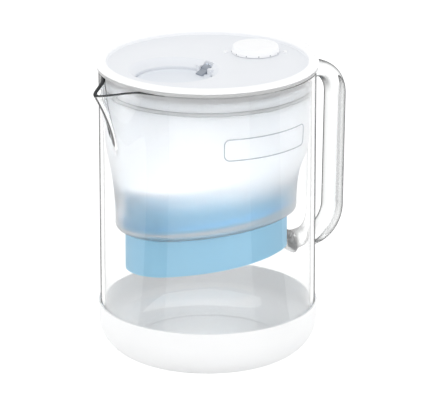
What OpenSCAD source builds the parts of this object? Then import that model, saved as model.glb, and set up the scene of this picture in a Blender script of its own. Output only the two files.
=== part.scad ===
// Gravity water filter pitcher: a glass jug with a pulled spout and a fused glass handle,
// a white boot under its foot, a frosted hopper that hangs from the rim, an oval filter
// cartridge in the hopper's pocket, and a white lid with a flip-up fill flap and a dial.
// Millimetres. Z is up, the ground is z = 0, the jug's axis is the Z axis,
// the handle is at +X and the spout at -X.

/* [Jug] */
// Outer radius of the glass body
jug_r = 70; // [62:0.5:78]
// Height of the glass rim above the ground
jug_h = 191; // [180:1:215]
// Thickness of the glass wall
glass_wall = 2.5; // [2:0.1:3.5]
// Thickness of the glass floor
glass_floor = 4; // [3:0.5:7]
// Outer corner radius at the foot of the glass
foot_r = 22; // [12:1:28]

/* [Spout] */
// How far the spout's lip stands out from the body
spout_out = 20; // [12:1:22]
// Half width of the spout at the rim, where it has lost most of its reach
spout_half_w = 10.5; // [8:0.5:13]
// How far below the rim the spout runs out into the body
spout_drop = 54; // [35:1:65]
// How far the lip dips below the rim
spout_dip = 3; // [0:0.5:5]

/* [Handle] */
// Distance from the jug's axis to the middle of the grip
grip_x = 105.3; // [98:0.1:112]
// How much nearer to the jug the lower end of the grip is
grip_lean = 1.5; // [0:0.5:6]
// Depth of the upper arm's middle below the rim
arm_drop = 16; // [11:0.5:24]
// Height of the handle from arm to arm, middle to middle
handle_span = 116; // [90:1:125]
// Thickness of the glass bar across the grip
bar_t = 11; // [8:0.5:14]
// Width of the glass bar seen from behind the grip
bar_w = 16; // [12:0.5:22]
// Bend radius of the bar's middle line
bar_bend = 20; // [14:1:26]

/* [Boot] */
// Thickness of the boot
boot_wall = 1.3; // [1:0.1:2.5]
// Height of the boot's upper edge
boot_h = 34; // [28:1:45]

/* [Hopper] */
// Thickness of the flange that lies on the glass rim
flange_t = 2.4; // [1.8:0.1:4]
// Gap between the hopper's collar and the glass
collar_gap = 0.6; // [0.5:0.1:1.2]
// Wall of the hopper
hopper_wall = 2; // [1.5:0.1:3]
// Depth of the round collar below the rim
collar_drop = 15; // [14:0.5:20]
// Depth of the seal ring's lower face below the rim
seal_drop = 13.4; // [12.5:0.1:13.6]
// Height of the seal ring
seal_h = 2.5; // [1.5:0.1:3]
// Height of the hopper's underside above the ground
hopper_z = 89; // [84:1:96]
// Height of the straight-sided cartridge pocket
pocket_h = 7; // [6:0.5:14]
// Height over which the pocket opens out into the round hopper
blend_h = 50; // [40:1:60]
// Rounding of the pocket's lower edge
pocket_round = 4.5; // [3:0.5:6]
// Room between the cartridge's flange and the pocket's ends
pocket_end_room = 0.6; // [0.5:0.1:1.5]
// Room between the cartridge's flange and the pocket's long sides
pocket_side_room = 5; // [2:0.5:7]
// How much smaller than the pocket's half width the radius of its ends is
pocket_end_flat = 7.9; // [4:0.1:12]

/* [Cartridge] */
// Room between the cartridge's ends and the inside of the glass
cup_room = 7.5; // [6.5:0.5:12]
// How much smaller the cartridge's half width is than its half length
cup_slim = 27.5; // [24:0.5:32]
// How much smaller than the cartridge's half width the radius of its ends is
cup_end_flat = 9.5; // [6:0.5:16]
// Height of the cartridge's shell
cup_h = 55; // [48:1:62]
// How far the cartridge hangs below the hopper's underside
cup_hang = 25.4; // [18:0.2:28]
// Wall of the cartridge's shell
cup_wall = 1.8; // [1.4:0.1:2.4]
// How far the cartridge's flange stands out
cup_lip = 2.4; // [1.8:0.1:2.8]
// Height of the gasket under the cartridge's flange
gasket_h = 2; // [1.4:0.1:3]
// Depth of the resin layer
resin_h = 17; // [12:1:19]
// Depth of the carbon layer
carbon_h = 25; // [18:1:26]
// Thickness of each felt pad
felt_t = 2; // [1.5:0.1:3]

/* [Lid] */
// Outer radius of the lid
lid_r = 71.5; // [66:0.1:80]
// Width of the lid's raised rim
lid_rim_w = 6.6; // [5:0.1:9]
// Thickness of the raised rim above the hopper's flange
lid_rim_h = 2.6; // [2.4:0.1:4]
// Depth of the lid's panel below the rim's top
lid_recess = 2.3; // [1:0.1:2.4]
// Thickness of the lid's panel
lid_t = 2; // [1.6:0.1:3]
// Depth of the skirt below the hopper's top face
skirt_drop = 11; // [8:0.5:14]
// Gap between the skirt and the hopper's collar, which the lid's seal bridges
skirt_gap = 4; // [0.5:0.1:4.5]
// Reach of the thumb tab over the handle
tab_out = 7.5; // [4:0.5:12]
// Width of the thumb tab
tab_w = 19; // [14:0.5:30]

/* [Fill opening] */
// Room between the fill opening's throat and the skirt
fill_room = 5.1; // [3:0.1:8]
// Radius of the fill opening
fill_r = 25; // [21:0.5:26]
// Depth of the sloping dish round the opening
dish_h = 5; // [3:0.5:6]
// How much wider the dish is at the panel
dish_out = 4; // [2:0.5:5]
// Depth of the flap's top below the opening's edge
flap_drop = 1.5; // [0.5:0.1:3]
// Thickness of the flap
flap_t = 2; // [1.5:0.1:3]
// Radius of the hinge pin
pin_r = 1; // [0.8:0.1:1.2]
// Width of the flap's knuckle
knuckle_w = 7.5; // [6:0.5:16]

/* [Dial] */
// Distance of the dial from the jug's axis
dial_x = 39; // [36:0.5:44]
// Radius of the dial
dial_r = 15.5; // [11:0.5:16]
// Height of the dial above the lid's panel
dial_h = 5.2; // [4:0.1:8]
// Number of marks round the dial
dial_marks = 12; // [6:1:24]
// Radius of the dial's stem
stem_r = 3; // [2.5:0.1:4]

/* [Hidden] */

$fn = 96;
run_gap = 0.3;     // between faces that slide past each other
fit_gap = 0.2;     // between a loose piece and its pocket
pin_gap = 0.08;    // round the hinge pin and the dial's stem
cut = 1;           // how far a cut runs past the face it opens
flush = 0.001;     // how far a cut runs past a face that it ends at

// Heights, from the ground up
glass_z = boot_wall;
glass_in_z = glass_z + glass_floor;
cup_z = hopper_z - cup_hang;
flange_z = jug_h;
hopper_top = flange_z + flange_t;
rim_top = hopper_top + lid_rim_h;
panel_top = rim_top - lid_recess;
panel_z = panel_top - lid_t;

// Radii
glass_in_r = jug_r - glass_wall;
boot_r = jug_r + boot_wall;
collar_r = glass_in_r - collar_gap;
collar_in_r = collar_r - hopper_wall;
lid_overhang = 0.4;
flange_r = lid_r - lid_overhang;
cup_a = glass_in_r - cup_room;
cup_b = cup_a - cup_slim;
cup_end_r = cup_b - cup_end_flat;

// ---------- shapes ----------

// An oval of four arcs: half length a, half width b, end arcs of radius e
function side_drop(a, b, e) = (pow(a - e, 2) - pow(b - e, 2)) / (2 * (b - e));
module oval(a, b, e) {
    d = a - e;
    h = side_drop(a, b, e);
    side_r = b + h;
    join_x = side_r * d / norm([d, h]);
    for (side = [-1, 1])
        translate([side * d, 0]) circle(r = e);
    intersection() {
        translate([0, -h]) circle(r = side_r, $fn = 180);
        translate([0, h]) circle(r = side_r, $fn = 180);
        square([2 * join_x, 3 * b], center = true);
    }
}
module oval_plate(a, b, e, z, h) {
    translate([0, 0, z]) linear_extrude(h) oval(a, b, e);
}
// The cartridge's own outline, grown by g
module cup_plate(g, z, h) {
    oval_plate(cup_a + g, cup_b + g, cup_end_r + g, z, h);
}

// Distance from the middle of such an oval to its edge in direction t
function oval_reach(t, a, b, e) =
    let (c = abs(cos(t)), s = abs(sin(t)), d = a - e, h = side_drop(a, b, e), r = b + h)
    s * (r * d / norm([d, h])) < c * (r * h / norm([d, h]) - h)
        ? d * c + sqrt(e * e - d * d * s * s)
        : sqrt(r * r - h * h * c * c) - h * s;

// A solid through rings of points, each ring anticlockwise seen from the next one's side
module skin(rings) {
    n = len(rings[0]);
    m = len(rings);
    sides = [for (k = [0 : m - 2], i = [0 : n - 1])
             let (a = k * n + i, b = k * n + (i + 1) % n)
             each [[a, a + n, b], [b, a + n, b + n]]];
    ends = [[for (i = [0 : n - 1]) i], [for (i = [n - 1 : -1 : 0]) (m - 1) * n + i]];
    polyhedron([for (ring = rings) each ring], concat(sides, ends), convexity = 6);
}

function smooth(u) = let (c = min(1, max(0, u))) c * c * (3 - 2 * c);

// A bar of width w and height h in 2D, standing on y = 0, with rounded upper corners
module round_top_bar(w, h, r) {
    square([w, h - r]);
    translate([r, 0]) square([w - 2 * r, h]);
    for (x = [r, w - r]) translate([x, h - r]) circle(r = r, $fn = 32);
}

module ring(r_out, r_in, z, h) {
    translate([0, 0, z]) difference() {
        cylinder(r = r_out, h = h);
        translate([0, 0, -cut]) cylinder(r = r_in, h = h + 2 * cut);
    }
}

// ---------- the jug ----------

// A revolved solid of radius r from z up to top, with its foot rounded by corner
module vessel_section(r, corner, z, top) {
    translate([0, z + corner]) square([r, top - z - corner]);
    translate([0, z]) square([r - corner, corner]);
    translate([r - corner, z + corner]) circle(r = corner);
}
module vessel(r, corner, z, top) {
    rotate_extrude() intersection() {
        vessel_section(r, corner, z, top);
        square([r, top]);
    }
}

// The spout: how far its outside stands out at lateral place y; s is 0 at the rim, 1 where it ends
spout_steps = 32;
spout_levels = 9;
spout_side = 2.2 * spout_half_w;
spout_back = glass_in_r - 12;
spout_bell = 2.6;
spout_sink = 0.15;
spout_narrowing = 0.45;
function spout_reach(y, s) =
    spout_out * (1 - s) * exp(-pow(abs(y) / (spout_half_w * (1 - spout_narrowing * s)), spout_bell));
function spout_place(y, s) = [spout_sink - sqrt(jug_r * jug_r - y * y) - spout_reach(y, s), y];
function spout_normal(y, s) =
    let (d = spout_place(y + 0.1, s) - spout_place(y - 0.1, s)) [-d[1], d[0]] / norm(d);
function spout_ring(s, z, inset) = concat(
    [for (i = [spout_steps : -1 : 0])
     let (y = spout_side * (2 * i / spout_steps - 1), p = spout_place(y, s) - inset * spout_normal(y, s))
     [p[0], p[1], z]],
    [[-spout_back, -spout_side, z], [-spout_back, spout_side, z]]);

// The spout's bulge, from inside the body out to its surface, less a wall of inset
module spout_form(inset, above) {
    levels = [for (k = [spout_levels : -1 : 0]) k / spout_levels];
    skin(concat([for (s = levels) spout_ring(s, jug_h - s * spout_drop, inset)],
                [spout_ring(0, jug_h + above, inset)]));
}
// What lies above the rim, whose plane slopes down over the spout
module above_rim() {
    far = 2 * jug_r;
    low = jug_h - (far - jug_r) * spout_dip / spout_out;
    rotate([90, 0, 0]) translate([0, 0, -far]) linear_extrude(2 * far)
        polygon([[-far, low], [-jug_r, jug_h], [far, jug_h], [far, jug_h + far], [-far, jug_h + far]]);
}

module glass_jug() {
    color("lightcyan", 0.4) difference() {
        union() {
            vessel(jug_r, foot_r, glass_z, jug_h + cut);
            spout_form(0, cut);
        }
        vessel(glass_in_r, foot_r - glass_wall, glass_in_z, jug_h + 2 * cut);
        spout_form(glass_wall, 2 * cut);
        above_rim();
    }
}

// ---------- the handle ----------

arm_z = jug_h - arm_drop;
low_z = arm_z - handle_span;
bar_start = jug_r - 4;
bar_sides = 24;
bar_squareness = 0.75;   // 1 gives the bar an elliptical section, less a squarer one
bar_fit = 0.02;
function arc_points(cx, cz, r, from, to, n) =
    [for (i = [0 : n]) let (t = from + (to - from) * i / n) [cx + r * cos(t), cz + r * sin(t)]];
lean_angle = atan(grip_lean / handle_span);
bar_line = concat(
    [[bar_start, arm_z]],
    arc_points(grip_x - bar_bend, arm_z - bar_bend, bar_bend, 90, -lean_angle, 7),
    arc_points(grip_x - grip_lean - bar_bend, low_z + bar_bend, bar_bend, -lean_angle, -90, 7),
    [[bar_start, low_z]]);
function bar_way(i) =
    let (a = bar_line[max(0, i - 1)], b = bar_line[min(len(bar_line) - 1, i + 1)])
    (b - a) / norm(b - a);
function squared(c) = sign(c) * pow(abs(c), bar_squareness);
function bar_ring(i) =
    let (p = bar_line[i], w = bar_way(i))
    [for (k = [0 : bar_sides - 1])
     let (t = 360 * k / bar_sides, u = squared(cos(t)) * bar_t / 2, v = squared(sin(t)) * bar_w / 2)
     [p[0] - w[1] * u, v, p[1] + w[0] * u]];

module glass_handle() {
    color("azure", 0.5) difference() {
        skin([for (i = [0 : len(bar_line) - 1]) bar_ring(i)]);
        cylinder(r = jug_r + bar_fit, h = jug_h, $fn = 180);
    }
}

// ---------- the boot ----------

module base_boot() {
    color("white") difference() {
        vessel(boot_r, foot_r + boot_wall, 0, boot_h);
        vessel(jug_r, foot_r, glass_z, boot_h + cut);
    }
}

// ---------- the hopper ----------

pocket_a = cup_a + cup_lip + pocket_end_room + hopper_wall;
pocket_b = cup_b + cup_lip + pocket_side_room + hopper_wall;
pocket_end_r = pocket_b - pocket_end_flat;
pocket_top = hopper_z + pocket_h;
collar_z = jug_h - collar_drop;
hopper_floor = 2.2;
hole_gap = 0.5;
draft = 0.03;
collar_step = 0.3;
collar_lap = 0.4;
ring_n = 60;

// Distance from the jug's axis to the hopper's outside in direction t at height z
function hopper_reach(t, z) =
    let (round_r = collar_r - collar_step - draft * (collar_z - z),
         k = 1 - smooth((z - pocket_top) / blend_h))
    round_r + k * (oval_reach(t, pocket_a, pocket_b, pocket_end_r) - round_r);
// How far the rounded lower edge draws in, u of the rounding's height above the underside
function tuck(u) = pocket_round * (1 - sqrt(1 - pow(1 - u, 2)));
function hopper_ring(z, inset) =
    [for (i = [0 : ring_n - 1]) let (t = i * 360 / ring_n, r = hopper_reach(t, z) - inset)
     [r * cos(t), r * sin(t), z]];
blend_steps = 8;
blend_z = [for (i = [0 : blend_steps]) pocket_top + blend_h * i / blend_steps];
tuck_steps = [0, 0.1, 0.3, 0.6, 1];

module hopper_funnel() {
    difference() {
        skin(concat([for (u = tuck_steps) hopper_ring(hopper_z + u * pocket_round, tuck(u))],
                    [for (z = concat(blend_z, collar_z + collar_lap)) hopper_ring(z, 0)]));
        skin([for (z = concat(hopper_z + hopper_floor, blend_z, collar_z + collar_lap + cut))
              hopper_ring(z, hopper_wall)]);
        cup_plate(hole_gap, hopper_z - cut, hopper_floor + 2 * cut);
    }
}

seal_z = jug_h - seal_drop;
seal_groove = 0.9;

module hopper() {
    color("whitesmoke", 0.8) {
        hopper_funnel();
        difference() {
            union() {
                translate([0, 0, collar_z]) cylinder(r = collar_r, h = hopper_top - collar_z);
                translate([0, 0, flange_z]) cylinder(r = flange_r, h = flange_t);
            }
            translate([0, 0, collar_z - cut])
                cylinder(r = collar_in_r, h = hopper_top - collar_z + 2 * cut);
            ring(collar_r + cut, collar_r - seal_groove, seal_z, seal_h);
        }
    }
}

module hopper_seal() {
    color("gainsboro") ring(glass_in_r - run_gap, collar_r - seal_groove, seal_z, seal_h);
}

// ---------- the cartridge ----------

gasket_z = hopper_z + hopper_floor;
cup_lip_z = gasket_z + gasket_h;
cup_lip_t = 2.2;
cup_top = cup_z + cup_h;
cup_floor = 2;
cap_t = 2;
cap_edge = 0.6;
plug_wall = 2;
mesh_t = 1;
media_gap = cup_wall + fit_gap;
outlet_z = cup_z + cup_floor;
resin_z = outlet_z + felt_t;
carbon_z = resin_z + resin_h;
inlet_z = carbon_z + carbon_h;
mesh_z = inlet_z + felt_t;
cap_z = cup_top;
plug_z = mesh_z + mesh_t;
slot_w = 2;
slot_pitch = 8;
slot_margin = 14;
slot_l = 2 * (cup_b - cup_wall - slot_margin);

// A row of slots across the cartridge, for the water to pass
module slots(count, length, z, h) {
    for (i = [0 : count - 1])
        translate([(i - (count - 1) / 2) * slot_pitch, 0, z + h / 2])
            cube([slot_w, length, h + 2 * cut], center = true);
}

module cartridge_cup() {
    color("deepskyblue") difference() {
        union() {
            cup_plate(0, cup_z, cup_h);
            cup_plate(cup_lip, cup_lip_z, cup_lip_t);
        }
        cup_plate(-cup_wall, outlet_z, cup_h);
        slots(9, slot_l, cup_z, cup_floor);
    }
}

module cartridge_gasket() {
    color("white") difference() {
        cup_plate(cup_lip - fit_gap, gasket_z, gasket_h);
        cup_plate(0, gasket_z - cut, gasket_h + 2 * cut);
    }
}

grip_l = 38;
grip_w = 5;
grip_h = 11;
grip_round = 4;
cap_slot_in = grip_w / 2 + 8;
cap_slot_out = cup_b - 8;

module cartridge_cap() {
    color("lightskyblue") {
        difference() {
            union() {
                cup_plate(cap_edge, cap_z, cap_t);
                cup_plate(-media_gap, plug_z, cap_z - plug_z);
            }
            cup_plate(-media_gap - plug_wall, plug_z - cut, cap_z - plug_z + cut);
            for (side = [-1, 1])
                translate([0, side * (cap_slot_in + cap_slot_out) / 2, 0])
                    slots(7, cap_slot_out - cap_slot_in, cap_z, cap_t);
        }
        translate([-grip_l / 2, grip_w / 2, cap_z + cap_t - cut]) rotate([90, 0, 0])
            linear_extrude(grip_w) round_top_bar(grip_l, grip_h + cut, grip_round);
    }
}

module inlet_mesh() { color("silver") cup_plate(-media_gap, mesh_z, mesh_t); }
module inlet_felt() { color("white") cup_plate(-media_gap, inlet_z, felt_t); }
module carbon_bed() { color("dimgray") cup_plate(-media_gap, carbon_z, carbon_h); }
module resin_bed() { color("wheat") cup_plate(-media_gap, resin_z, resin_h); }
module outlet_felt() { color("white") cup_plate(-media_gap, outlet_z, felt_t); }

// ---------- the lid ----------

panel_gap = 0.5;
panel_r = collar_in_r - panel_gap;
skirt_r = collar_in_r - skirt_gap;
rim_round = 1.3;
rim_lap = 1;
tab_round = 5;
tab_root = 4;
tab_step = 0.6;
skirt_wall = 2;
skirt_z = hopper_top - skirt_drop;
lid_seal_z = skirt_z + 3;
lid_seal_h = 2.5;
lid_groove = 0.9;
throat_wall = 2;
fill_x = skirt_r - skirt_wall - fill_room - throat_wall - fill_r;
throat_h = 16;
throat_z = panel_top - throat_h;
dish_z = panel_top - dish_h;
flap_r = fill_r - 0.5;
flap_top = dish_z - flap_drop;
flap_z = flap_top - flap_t;
flap_seal_t = 0.8;
ledge_z = flap_z - flap_seal_t;
ledge_w = 2.5;
knuckle_r = pin_r + 1.2;
hinge_set_in = 0.5;
hinge_sink = 2.2;
hinge_x = -fill_x + fill_r + knuckle_r - hinge_set_in;
hinge_z = panel_top - knuckle_r - hinge_sink;
pocket_gap = 0.8;
pocket_reach = 6;
block_wall = 1.5;
cheek = 4;
pin_in_cheek = 3;
lap = 0.5;
pin_fit = 0.02;
pin_half = knuckle_w / 2 + pocket_gap + pin_in_cheek;
stem_boss_r = stem_r + 3;
stem_boss_h = 4;
stem_boss_z = panel_z - stem_boss_h;
pointer_r = 2.6;
pointer_turn = -37;
pointer_h = 0.9;
pointer_x = dial_r + pointer_r + 0.6;

module lid_rim() {
    rotate_extrude() translate([lid_r - lid_rim_w, hopper_top])
        round_top_bar(lid_rim_w, lid_rim_h, rim_round);
}

module thumb_tab() {
    l = tab_root + tab_out;
    difference() {
        translate([lid_r - tab_root, 0, hopper_top]) linear_extrude(lid_rim_h - tab_step) {
            for (side = [-1, 1])
                translate([l - tab_round, side * (tab_w / 2 - tab_round)]) circle(r = tab_round);
            translate([0, -tab_w / 2]) square([l - tab_round, tab_w]);
            translate([0, tab_round - tab_w / 2]) square([l, tab_w - 2 * tab_round]);
        }
        translate([0, 0, hopper_top - cut])
            cylinder(r = lid_r - tab_root / 2, h = lid_rim_h + 2 * cut);
    }
}

// The block under the panel that holds the hinge pin
module hinge_block() {
    low = hinge_z - knuckle_r - pocket_gap - block_wall;
    w = knuckle_w + 2 * pocket_gap + 2 * cheek;
    translate([hinge_x - knuckle_r - cheek, -w / 2, low])
        cube([cheek + 2 * knuckle_r + pocket_gap + block_wall, w, panel_z + lap - low]);
}
module hinge_pocket() {
    low = hinge_z - knuckle_r - pocket_gap;
    w = knuckle_w + 2 * pocket_gap;
    translate([hinge_x - knuckle_r - pocket_reach, -w / 2, low])
        cube([pocket_reach + 2 * knuckle_r + pocket_gap, w, panel_top + cut - low]);
}
module hinge_bore(r, from, to) {
    translate([hinge_x, from, hinge_z]) rotate([-90, 0, 0]) cylinder(r = r, h = to - from, $fn = 48);
}

module lid_top() {
    color("white") difference() {
        union() {
            lid_rim();
            thumb_tab();
            translate([0, 0, panel_z]) cylinder(r = panel_r, h = lid_t);
            translate([0, 0, hopper_top])
                cylinder(r = lid_r - lid_rim_w + rim_lap, h = panel_top - hopper_top);
            translate([-fill_x, 0, throat_z])
                cylinder(r = fill_r + throat_wall, h = dish_z - throat_z);
            translate([-fill_x, 0, dish_z])
                cylinder(r1 = fill_r + throat_wall, r2 = fill_r + dish_out + throat_wall, h = dish_h);
            hinge_block();
            translate([dial_x, 0, stem_boss_z]) cylinder(r = stem_boss_r, h = stem_boss_h + lap);
            for (side = [0, 180]) translate([dial_x, 0, panel_top - lap]) rotate(side + pointer_turn)
                translate([-pointer_x, 0, 0]) cylinder(r = pointer_r, h = pointer_h + lap, $fn = 3);
        }
        translate([-fill_x, 0, 0]) {
            translate([0, 0, dish_z]) cylinder(r1 = fill_r, r2 = fill_r + dish_out, h = dish_h + flush);
            translate([0, 0, ledge_z]) cylinder(r = fill_r, h = dish_z - ledge_z + flush);
            translate([0, 0, throat_z - cut])
                cylinder(r = fill_r - ledge_w, h = ledge_z - throat_z + 2 * cut);
        }
        hinge_pocket();
        hinge_bore(pin_r + pin_fit, -pin_half - fit_gap, pin_half + fit_gap);
        translate([dial_x, 0, stem_boss_z - cut])
            cylinder(r = stem_r + pin_gap, h = panel_top - stem_boss_z + 2 * cut);
    }
}

module lid_skirt() {
    color("white") difference() {
        ring(skirt_r, skirt_r - skirt_wall, skirt_z, panel_z - skirt_z);
        ring(skirt_r + cut, skirt_r - lid_groove, lid_seal_z, lid_seal_h);
    }
}
module lid_seal() {
    color("gainsboro") ring(collar_in_r - run_gap, skirt_r - lid_groove, lid_seal_z, lid_seal_h);
}

module hinge_pin() {
    color("silver") hinge_bore(pin_r, -pin_half, pin_half);
}

// ---------- the flap ----------

web_tilt = 24;
web_l = 7.5;
web_t = 2;
web_w = knuckle_w - 1;
pull_r = 1.4;
pull_l = 14;
pull_in = 5;
pull_sink = 0.5;

// The web that joins the flap to its knuckle
module flap_web() {
    start = pin_r + 0.5;
    translate([hinge_x, 0, hinge_z]) rotate([0, -web_tilt, 0])
        translate([-web_l, -web_w / 2, -web_t / 2]) cube([web_l - start, web_w, web_t]);
}
// The bar that a finger lifts the flap by
module flap_pull() {
    translate([pull_in - fill_x - flap_r, pull_l / 2, flap_top - pull_sink]) rotate([90, 0, 0])
        cylinder(r = pull_r, h = pull_l, $fn = 32);
}
module flap() {
    color("white") difference() {
        union() {
            translate([-fill_x, 0, flap_z]) cylinder(r = flap_r, h = flap_t);
            hinge_bore(knuckle_r, -knuckle_w / 2, knuckle_w / 2);
            flap_web();
            flap_pull();
        }
        hinge_bore(pin_r + pin_gap, -knuckle_w / 2 - cut, knuckle_w / 2 + cut);
    }
}
module flap_gasket() {
    color("gainsboro") translate([-fill_x, 0, 0])
        ring(flap_r - fit_gap, fill_r - ledge_w + fit_gap, ledge_z, flap_seal_t);
}

// ---------- the dial ----------

dial_z = panel_top + fit_gap;
dial_top = panel_top + dial_h;
dial_wall = 2;
dial_round = 1.2;
dial_mark_r = 0.8;
dial_mark_z = dial_z + 0.42 * (dial_top - dial_z);
stem_end = stem_boss_z - 0.4;
screw_r = 1.25;
screw_l = 8;
screw_head_r = 2.7;
screw_head_t = 1.8;
washer_t = 0.8;
washer_z = stem_end - washer_t;

module dial_knob() {
    color("white") translate([dial_x, 0, 0]) difference() {
        union() {
            rotate_extrude() intersection() {
                translate([-dial_r, dial_z]) round_top_bar(2 * dial_r, dial_top - dial_z, dial_round);
                translate([0, dial_z]) square([dial_r, dial_top]);
            }
            translate([0, 0, stem_end]) cylinder(r = stem_r, h = dial_top - stem_end - 1);
        }
        difference() {
            translate([0, 0, dial_z - cut])
                cylinder(r = dial_r - dial_wall, h = dial_top - dial_z - dial_wall + cut);
            translate([0, 0, dial_z - 2 * cut]) cylinder(r = stem_r, h = 2 * dial_h);
        }
        translate([0, 0, stem_end - cut]) cylinder(r = screw_r, h = screw_l + cut, $fn = 32);
        for (i = [0 : dial_marks - 1])
            rotate(i * 360 / dial_marks) translate([dial_r, 0, dial_mark_z])
                sphere(r = dial_mark_r, $fn = 24);
    }
}

drag_r = 9;
drag_t = 1.6;
module dial_drag_ring() {
    color("dimgray") translate([dial_x, 0, 0])
        ring(drag_r + drag_t, drag_r, panel_top + run_gap, dial_top - dial_wall - panel_top - run_gap);
}
module dial_washer() {
    color("silver") translate([dial_x, 0, 0])
        ring(stem_boss_r - 0.5, screw_r + 0.1, washer_z, washer_t);
}
module dial_screw() {
    color("silver") translate([dial_x, 0, washer_z]) {
        translate([0, 0, -screw_head_t]) cylinder(r = screw_head_r, h = screw_head_t, $fn = 48);
        cylinder(r = screw_r, h = screw_l, $fn = 32);
    }
}

glass_jug();
glass_handle();
base_boot();
hopper();
hopper_seal();
cartridge_cup();
cartridge_gasket();
cartridge_cap();
inlet_mesh();
inlet_felt();
carbon_bed();
resin_bed();
outlet_felt();
lid_top();
lid_skirt();
lid_seal();
hinge_pin();
flap();
flap_gasket();
dial_knob();
dial_drag_ring();
dial_washer();
dial_screw();
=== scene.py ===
"""The looks of a gravity water filter jug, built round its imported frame.

Every length is in metres. The jug's axis is the Z axis, the handle is at +X and the spout at -X.
"""

import math

import bmesh
import bpy
import numpy as np
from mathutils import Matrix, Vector


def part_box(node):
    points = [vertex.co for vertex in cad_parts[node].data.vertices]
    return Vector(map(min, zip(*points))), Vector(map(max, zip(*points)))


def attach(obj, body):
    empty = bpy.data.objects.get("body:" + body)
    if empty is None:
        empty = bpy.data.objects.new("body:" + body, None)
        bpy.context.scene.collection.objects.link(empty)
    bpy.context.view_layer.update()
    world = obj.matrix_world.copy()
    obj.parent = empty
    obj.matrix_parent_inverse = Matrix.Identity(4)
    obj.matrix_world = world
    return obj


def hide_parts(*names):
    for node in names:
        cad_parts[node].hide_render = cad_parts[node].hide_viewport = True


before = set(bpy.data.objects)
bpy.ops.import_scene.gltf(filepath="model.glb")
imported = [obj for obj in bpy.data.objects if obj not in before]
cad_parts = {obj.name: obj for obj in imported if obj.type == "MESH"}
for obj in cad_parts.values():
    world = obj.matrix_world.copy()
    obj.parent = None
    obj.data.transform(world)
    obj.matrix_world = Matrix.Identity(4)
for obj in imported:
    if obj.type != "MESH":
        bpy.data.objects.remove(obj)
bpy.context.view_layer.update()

MM = 0.001


def low(node_name):
    """A node's lowest corner at rest."""
    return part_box(node_name)[0]


def high(node_name):
    """A node's highest corner at rest."""
    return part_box(node_name)[1]


# ---------- sizes: the frame's own, then what the frame's boxes don't show ----------

# Room between pieces
COLLAR_GAP = 0.6 * MM  # hopper's collar to the glass
PANEL_GAP = 0.5 * MM  # lid's panel to the hopper
FLAP_GAP = 0.5 * MM  # flap to its opening
POCKET_GAP = 0.4 * MM  # knuckle to its pocket
PIN_GAP = 0.08 * MM  # pin or stem to its bore
DIAL_GAP = 0.2 * MM  # dial to the panel
CUP_HOLE_GAP = 0.5 * MM  # cartridge to the hopper's hole
BOOT_GAP = 0.05 * MM  # boot to the glass
BAR_FIT = 0.02 * MM  # handle's root to the glass

# The glass jug
JUG_R = high("glass_jug").y
JUG_TOP = high("glass_jug").z
JUG_BOTTOM = low("glass_jug").z
GLASS_WALL = 2.5 * MM
GLASS_FLOOR = 4 * MM
FOOT_R = 22 * MM  # rounding of the foot

# Its spout
SPOUT_OUT = -low("glass_jug").x - JUG_R
SPOUT_HALF_W = 13.8 * MM
SPOUT_SIDE = 2.6 * SPOUT_HALF_W  # how far to each side its bulge is drawn
SPOUT_DROP = 54 * MM  # from the rim down to where it has run out
SPOUT_DIP = 3 * MM  # how far its lip lies below the rim
SPOUT_BELL = 2.0  # exponent of its bell-shaped plan
SPOUT_CURVE = 1.8  # exponent of its run down the wall
SPOUT_NARROWING = 0.45  # share of its width that it loses on the way down

# The boot
BOOT_R = high("base_boot").y
BOOT_TOP = high("base_boot").z
BOOT_WALL = BOOT_R - JUG_R
BOOT_LIP = BOOT_WALL * 0.42  # rounding of its upper edges

# The handle, a flattened bar
BAR_T = 11 * MM
BAR_W = high("glass_handle").y - low("glass_handle").y
BAR_BEND = 20 * MM
BAR_SQUARENESS = 0.75  # exponent: 1 is an ellipse, less is squarer
BAR_FLARE = 0.35  # how much its roots widen
FLARE_RUN = 0.55  # share of an arm over which a root narrows
FLARE_FALL = 2.2  # exponent of that narrowing
ARM_Z = high("glass_handle").z - BAR_T / 2
LOW_ARM_Z = low("glass_handle").z + BAR_T / 2
GRIP_X = high("glass_handle").x - BAR_T / 2
GRIP_LEAN = 1.5 * MM

# The hopper: a round collar, whose wall turns into an oval pocket
HOPPER_TOP = high("hopper").z
HOPPER_BOTTOM = low("hopper").z
HOPPER_WALL = 2 * MM
HOPPER_FLOOR = 2.2 * MM
FLOOR_ROUND = 1.5 * MM
FLANGE_R = high("hopper").y
COLLAR_R = JUG_R - GLASS_WALL - COLLAR_GAP
COLLAR_Z = JUG_TOP - 15 * MM
COLLAR_STEP = 0.3 * MM  # how far the wall stands back below the collar
POCKET_A = 65 * MM  # the oval's half length
POCKET_B = 41.9 * MM  # and half width
POCKET_END_R = 34 * MM
POCKET_TOP = HOPPER_BOTTOM + 7 * MM
POCKET_ROUND = 4.5 * MM
BLEND_H = 50 * MM  # height over which the oval turns round
DRAFT = 0.03

# The hopper's wiper seal
SEAL_Z = low("hopper_seal").z
SEAL_TOP = high("hopper_seal").z
SEAL_MIDDLE = (SEAL_Z + SEAL_TOP) / 2
SEAL_R = high("hopper_seal").y
SEAL_GROOVE = 0.9 * MM

# The oval of the cartridge's shell
CUP_A = 60 * MM
CUP_B = 32.5 * MM
CUP_END_R = 23 * MM

# The name plate's raised line
PLATE_HALF_ANGLE = math.radians(27.8)
PLATE_Z = 155 * MM
PLATE_HALF_H = 7 * MM
PLATE_CORNER = 3.5 * MM
PLATE_BEAD = 0.35 * MM

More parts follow.
